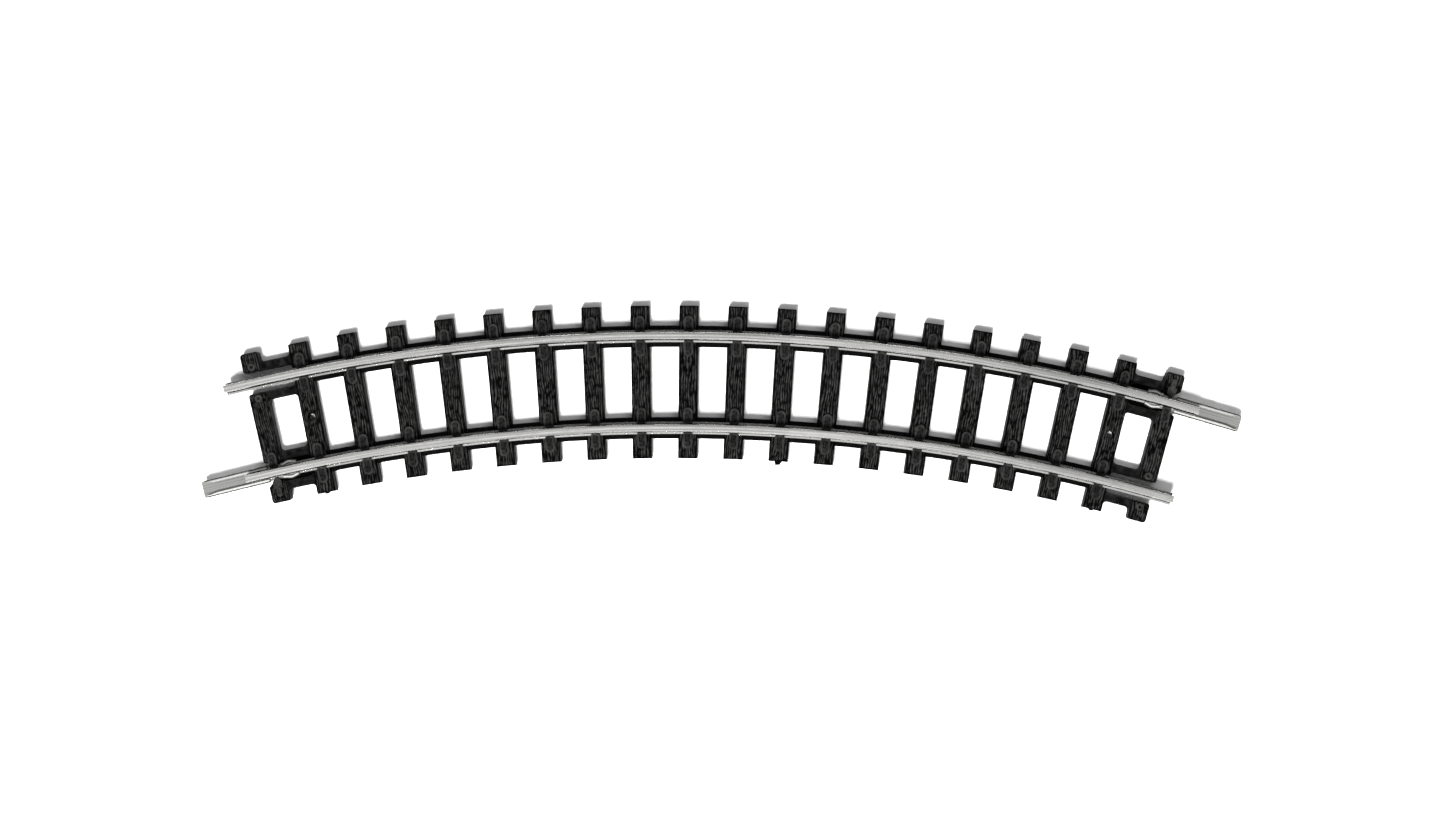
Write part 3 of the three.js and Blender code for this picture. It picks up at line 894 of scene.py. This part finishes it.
def add(tree, kind, **settings):
    """A shader node, with its inputs or properties set."""
    node = tree.nodes.new(kind)
    for key, value in settings.items():
        if key in node.inputs:
            node.inputs[key].default_value = value
        else:
            setattr(node, key, value)
    return node


def ramp(tree, source, low, high, start=0.3, end=0.7):
    """Takes a value between start and end to one between low and high."""
    node = add(tree, "ShaderNodeMapRange")
    node.inputs["From Min"].default_value = start
    node.inputs["From Max"].default_value = end
    node.inputs["To Min"].default_value = low
    node.inputs["To Max"].default_value = high
    tree.links.new(source, node.inputs["Value"])
    return node.outputs["Result"]


def plastic(name, top, relief, low, high):
    """Black moulded plastic, painted with shade down the sides and in the relief and with a painted
    highlight where it is raised.

    The colour goes from the grey low to the grey high over the relief's height under top; this
    painted light stands in for how the light catches the raised parts.
    """
    material, tree, shader = node_material(name)
    place = add(tree, "ShaderNodeTexCoord")
    height = add(tree, "ShaderNodeSeparateXYZ")
    tree.links.new(place.outputs["Object"], height.inputs["Vector"])
    patches = add(tree, "ShaderNodeTexNoise", Scale=1100.0, Detail=4.0, Roughness=0.65)
    skin = add(tree, "ShaderNodeTexNoise", Scale=6500.0, Detail=3.0, Roughness=0.7)
    for texture in (patches, skin):
        tree.links.new(place.outputs["Object"], texture.inputs["Vector"])
    dark, pale = (top - relief * 0.85) * MM, (top - relief * 0.15) * MM
    raised = ramp(tree, height.outputs["Z"], 0, 1, dark, pale)
    # painted light: paler on raised parts as if lit, dark as shade in hollows and down the sides,
    # broken by patches; the specular level follows it too
    lit_by_height = add(tree, "ShaderNodeMath", operation="MULTIPLY")
    tree.links.new(raised, lit_by_height.inputs[0])
    tree.links.new(ramp(tree, patches.outputs["Fac"], 0.25, 1.0), lit_by_height.inputs[1])
    colour = add(tree, "ShaderNodeMix", data_type="RGBA")
    colour.inputs["A"].default_value = (low, low, low * 0.98, 1)
    colour.inputs["B"].default_value = (high, high, high * 0.97, 1)
    tree.links.new(lit_by_height.outputs["Value"], colour.inputs["Factor"])
    tree.links.new(colour.outputs["Result"], shader.inputs["Base Color"])
    tree.links.new(ramp(tree, skin.outputs["Fac"], 0.42, 0.6), shader.inputs["Roughness"])
    shine = ramp(tree, lit_by_height.outputs["Value"], 0.02, 0.4, 0, 1)
    tree.links.new(shine, shader.inputs["Specular IOR Level"])
    bump = add(tree, "ShaderNodeBump", Strength=0.2, Distance=0.00002)
    tree.links.new(skin.outputs["Fac"], bump.inputs["Height"])
    tree.links.new(bump.outputs["Normal"], shader.inputs["Normal"])
    return material


def tone_by_height(tree, stops):
    """Painted shade: a grey that goes from one (height, tone) to the next up the piece."""
    local = add(tree, "ShaderNodeTexCoord")
    height = add(tree, "ShaderNodeSeparateXYZ")
    tree.links.new(local.outputs["Object"], height.inputs["Vector"])
    shade_tones = add(tree, "ShaderNodeValToRGB")
    low, high = stops[0][0], stops[-1][0]
    elements = shade_tones.color_ramp.elements
    for z, _ in stops[1:-1]:
        elements.new((z - low) / (high - low))
    for element, (_, tone) in zip(elements, stops):
        element.color = (tone, tone, tone, 1)
    tree.links.new(ramp(tree, height.outputs["Z"], 0, 1, low * MM, high * MM), shade_tones.inputs["Fac"])
    return shade_tones.outputs["Color"]


def drawn_metal(name, colours, roughness, metallic, stops):
    """Bright metal with fine lines along it, from the piece's own lengthwise coordinates, darkened
    by painted shade up the piece by the heights in stops.
    """
    material, tree, shader = node_material(name)
    place = add(tree, "ShaderNodeUVMap", uv_map="along")
    stretch = add(tree, "ShaderNodeMapping")
    stretch.inputs["Scale"].default_value = (0.04, 5.5, 1.0)
    tree.links.new(place.outputs["UV"], stretch.inputs["Vector"])
    lines = add(tree, "ShaderNodeTexNoise", Scale=1.0, Detail=3.0, Roughness=0.6)
    tree.links.new(stretch.outputs["Vector"], lines.inputs["Vector"])
    cloud = add(tree, "ShaderNodeTexNoise", Scale=0.9, Detail=4.0, Roughness=0.6)
    tree.links.new(place.outputs["UV"], cloud.inputs["Vector"])
    colour = add(tree, "ShaderNodeMix", data_type="RGBA")
    colour.inputs["A"].default_value = (*colours[0], 1)
    colour.inputs["B"].default_value = (*colours[1], 1)
    tree.links.new(ramp(tree, lines.outputs["Fac"], 0, 1, 0.36, 0.64), colour.inputs["Factor"])
    # painted shade: the streaked colour multiplied by the greys up the piece
    painted_shade = add(tree, "ShaderNodeMix", data_type="RGBA", blend_type="MULTIPLY")
    painted_shade.inputs["Factor"].default_value = 1.0
    tree.links.new(colour.outputs["Result"], painted_shade.inputs["A"])
    tree.links.new(tone_by_height(tree, stops), painted_shade.inputs["B"])
    tree.links.new(painted_shade.outputs["Result"], shader.inputs["Base Color"])
    shader.inputs["Metallic"].default_value = metallic
    rough = ramp(tree, cloud.outputs["Fac"], roughness - 0.06, roughness + 0.08)
    tree.links.new(rough, shader.inputs["Roughness"])
    bump = add(tree, "ShaderNodeBump", Strength=0.05, Distance=0.000005)
    tree.links.new(lines.outputs["Fac"], bump.inputs["Height"])
    tree.links.new(bump.outputs["Normal"], shader.inputs["Normal"])
    return material


# ---- camera, floor and light ----
LENS_PIXELS = 3000.0  # focal length over the width of one of the picture's 1445 pixels
PICTURE_WIDTH = 1445
CAMERA_HEIGHT = 317.3  # above the rail heads
CAMERA_TURN = 1.266  # degrees
CAMERA_OFF = Vector((1.122, -2.574))  # from the middle of the track's centre line
WORLD = 0.06
LAMP_DISTANCE = 1.0  # metres
# Where each lamp shines from, its sides in metres, its power, and whether the metal mirrors it.
LAMPS = {
    "key": ((-0.16, -0.44, 1.0), (0.22, 0.22), 23.5, False),
    "softbox": ((-0.05, -0.36, 1.0), (1.5, 0.9), 2.4, True),
    "fill": ((0.3, 0.8, 1.0), (0.8, 0.8), 2.9, False),
}
FLOOR_REACH = 3.0  # metres
FLOOR_GAP = 0.00002  # under the sleepers
FLOOR_GREY = 0.93


def camera():
    data = bpy.data.cameras.new("camera")
    data.sensor_width = 36.0
    data.lens = LENS_PIXELS * data.sensor_width / PICTURE_WIDTH
    data.clip_start, data.clip_end = 0.01, 10.0
    eye = bpy.data.objects.new("camera", data)
    bpy.context.scene.collection.objects.link(eye)
    bpy.context.scene.camera = eye
    turn = Matrix.Rotation(math.radians(CAMERA_TURN), 2)
    place = on_curve(CURVE_RADIUS, 0.0) + turn @ CAMERA_OFF
    eye.location = (place.x * MM, place.y * MM, (RAIL_TOP + CAMERA_HEIGHT) * MM)
    eye.rotation_euler = (0.0, 0.0, math.radians(CAMERA_TURN))


def floor():
    mesh = bpy.data.meshes.new("floor")
    reach = FLOOR_REACH
    corners = [(-reach, -reach, 0), (reach, -reach, 0), (reach, reach, 0), (-reach, reach, 0)]
    mesh.from_pydata(corners, [], [(0, 1, 2, 3)])
    plane = bpy.data.objects.new("floor", mesh)
    bpy.context.scene.collection.objects.link(plane)
    plane.location.z = -FLOOR_GAP
    material, _, shader = node_material("pale_floor")
    shader.inputs["Base Color"].default_value = (FLOOR_GREY, FLOOR_GREY, FLOOR_GREY, 1)
    shader.inputs["Roughness"].default_value = 0.9
    shader.inputs["Specular IOR Level"].default_value = 0.2
    mesh.materials.append(material)


def lamp(name, direction, size, power, glossy):
    data = bpy.data.lights.new(name, "AREA")
    data.shape = "RECTANGLE"
    data.size, data.size_y = size
    data.energy = power
    light = bpy.data.objects.new(name, data)
    bpy.context.scene.collection.objects.link(light)
    light.location = Vector(direction).normalized() * LAMP_DISTANCE
    light.rotation_mode = "QUATERNION"
    light.rotation_quaternion = Vector(direction).to_track_quat("Z", "Y")
    light.visible_glossy = glossy


def lighting():
    world = bpy.data.worlds.new("studio")
    bpy.context.scene.world = world
    world.use_nodes = True
    sky = world.node_tree.nodes["Background"]
    sky.inputs["Color"].default_value = (1, 1, 1, 1)
    sky.inputs["Strength"].default_value = WORLD
    for name, settings in LAMPS.items():
        lamp(name, *settings)
    bpy.context.scene.view_settings.view_transform = "Standard"


# ---- everything ----
def moulding():
    # low and high: the greys of the painted shade in each piece's hollows and sides and of the
    # painted highlight on its raised parts
    wood = plastic("moulded_sleeper", SLEEPER_HEIGHT, GRAIN_DEPTH, low=0.0008, high=0.04)
    web = plastic("moulded_web", END_WEB_TOP, WEB_SKIN, low=0.001, high=0.012)
    strip = plastic("moulded_runner", STRIP_TOP + 0.03, 0.05, low=0.0008, high=0.004)
    pad = plastic("moulded_clip", CLIP_TOP, 0.14, low=0.0015, high=0.032)
    catch = plastic("moulded_latch", LATCH_TOP, 0.1, low=0.0015, high=0.034)
    for i in range(1, LAST):
        piece = make(f"sleeper_{i:02d}", *plain_sleeper(i), wood)
        if i in (1, LAST - 1):
            bored(piece, from_sleeper(i, 0.0, CURVE_RADIUS), PIN_HOLE)
    for end in (-1, 1):
        parts = [
            end_sleeper_piece(end, None, "inner_rail"),
            end_sleeper_piece(end, "inner_rail", "outer_rail"),
            end_sleeper_piece(end, "outer_rail", None),
        ]
        make("sleeper_end_" + end_name(end), *joined(parts), wood)
        end_frame(end, web)
        latches(end, catch)
        bolts(end, wood)
    for node in RAILS:
        clips(node, pad)
        runner(node, strip)
    gates(web)
    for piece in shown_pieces():
        if piece.data.materials and piece.data.materials[0] in (wood, web, strip, pad, catch):
            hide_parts("sleeper_bed")


def rail_metal():
    """Bright on the head and the foot, with painted shade on the web between them and down the
    foot's sides.
    """
    foot, neck = FOOT_Z + FOOT_EDGE, RAIL_TOP - HEAD_DEPTH
    shade_tones = [(foot - 0.03, 0.08), (foot - 0.014, 1.0), (foot + 0.02, 1.0), (foot + 0.05, 0.04)]
    shade_tones += [(neck, 0.04), (neck + 0.08, 1.0)]
    greys = ((0.5, 0.5, 0.485), (0.93, 0.92, 0.9))
    return drawn_metal("nickel_silver", greys, roughness=0.24, metallic=0.88, stops=shade_tones)


def joiner_metal():
    """Bright on the lips, with painted shade darkening the sides and greying the floor."""
    floor_top, lip = JOINER_FLOOR, LIP_UNDER + SHEET
    shade_tones = [(floor_top, 0.42), (floor_top + 0.05, 0.05), (lip - 0.035, 0.05), (lip - 0.012, 1.0)]
    greys = ((0.5, 0.5, 0.485), (0.95, 0.95, 0.92))
    return drawn_metal("joiner_sheet", greys, roughness=0.28, metallic=0.62, stops=shade_tones)


def build():
    camera()
    moulding()
    nickel, sheet = rail_metal(), joiner_metal()
    for node in RAILS:
        rail(node, nickel)
    joiner("outer_rail", "right_joiner", sheet)
    joiner("inner_rail", "left_joiner", sheet)
    floor()
    lighting()


build()
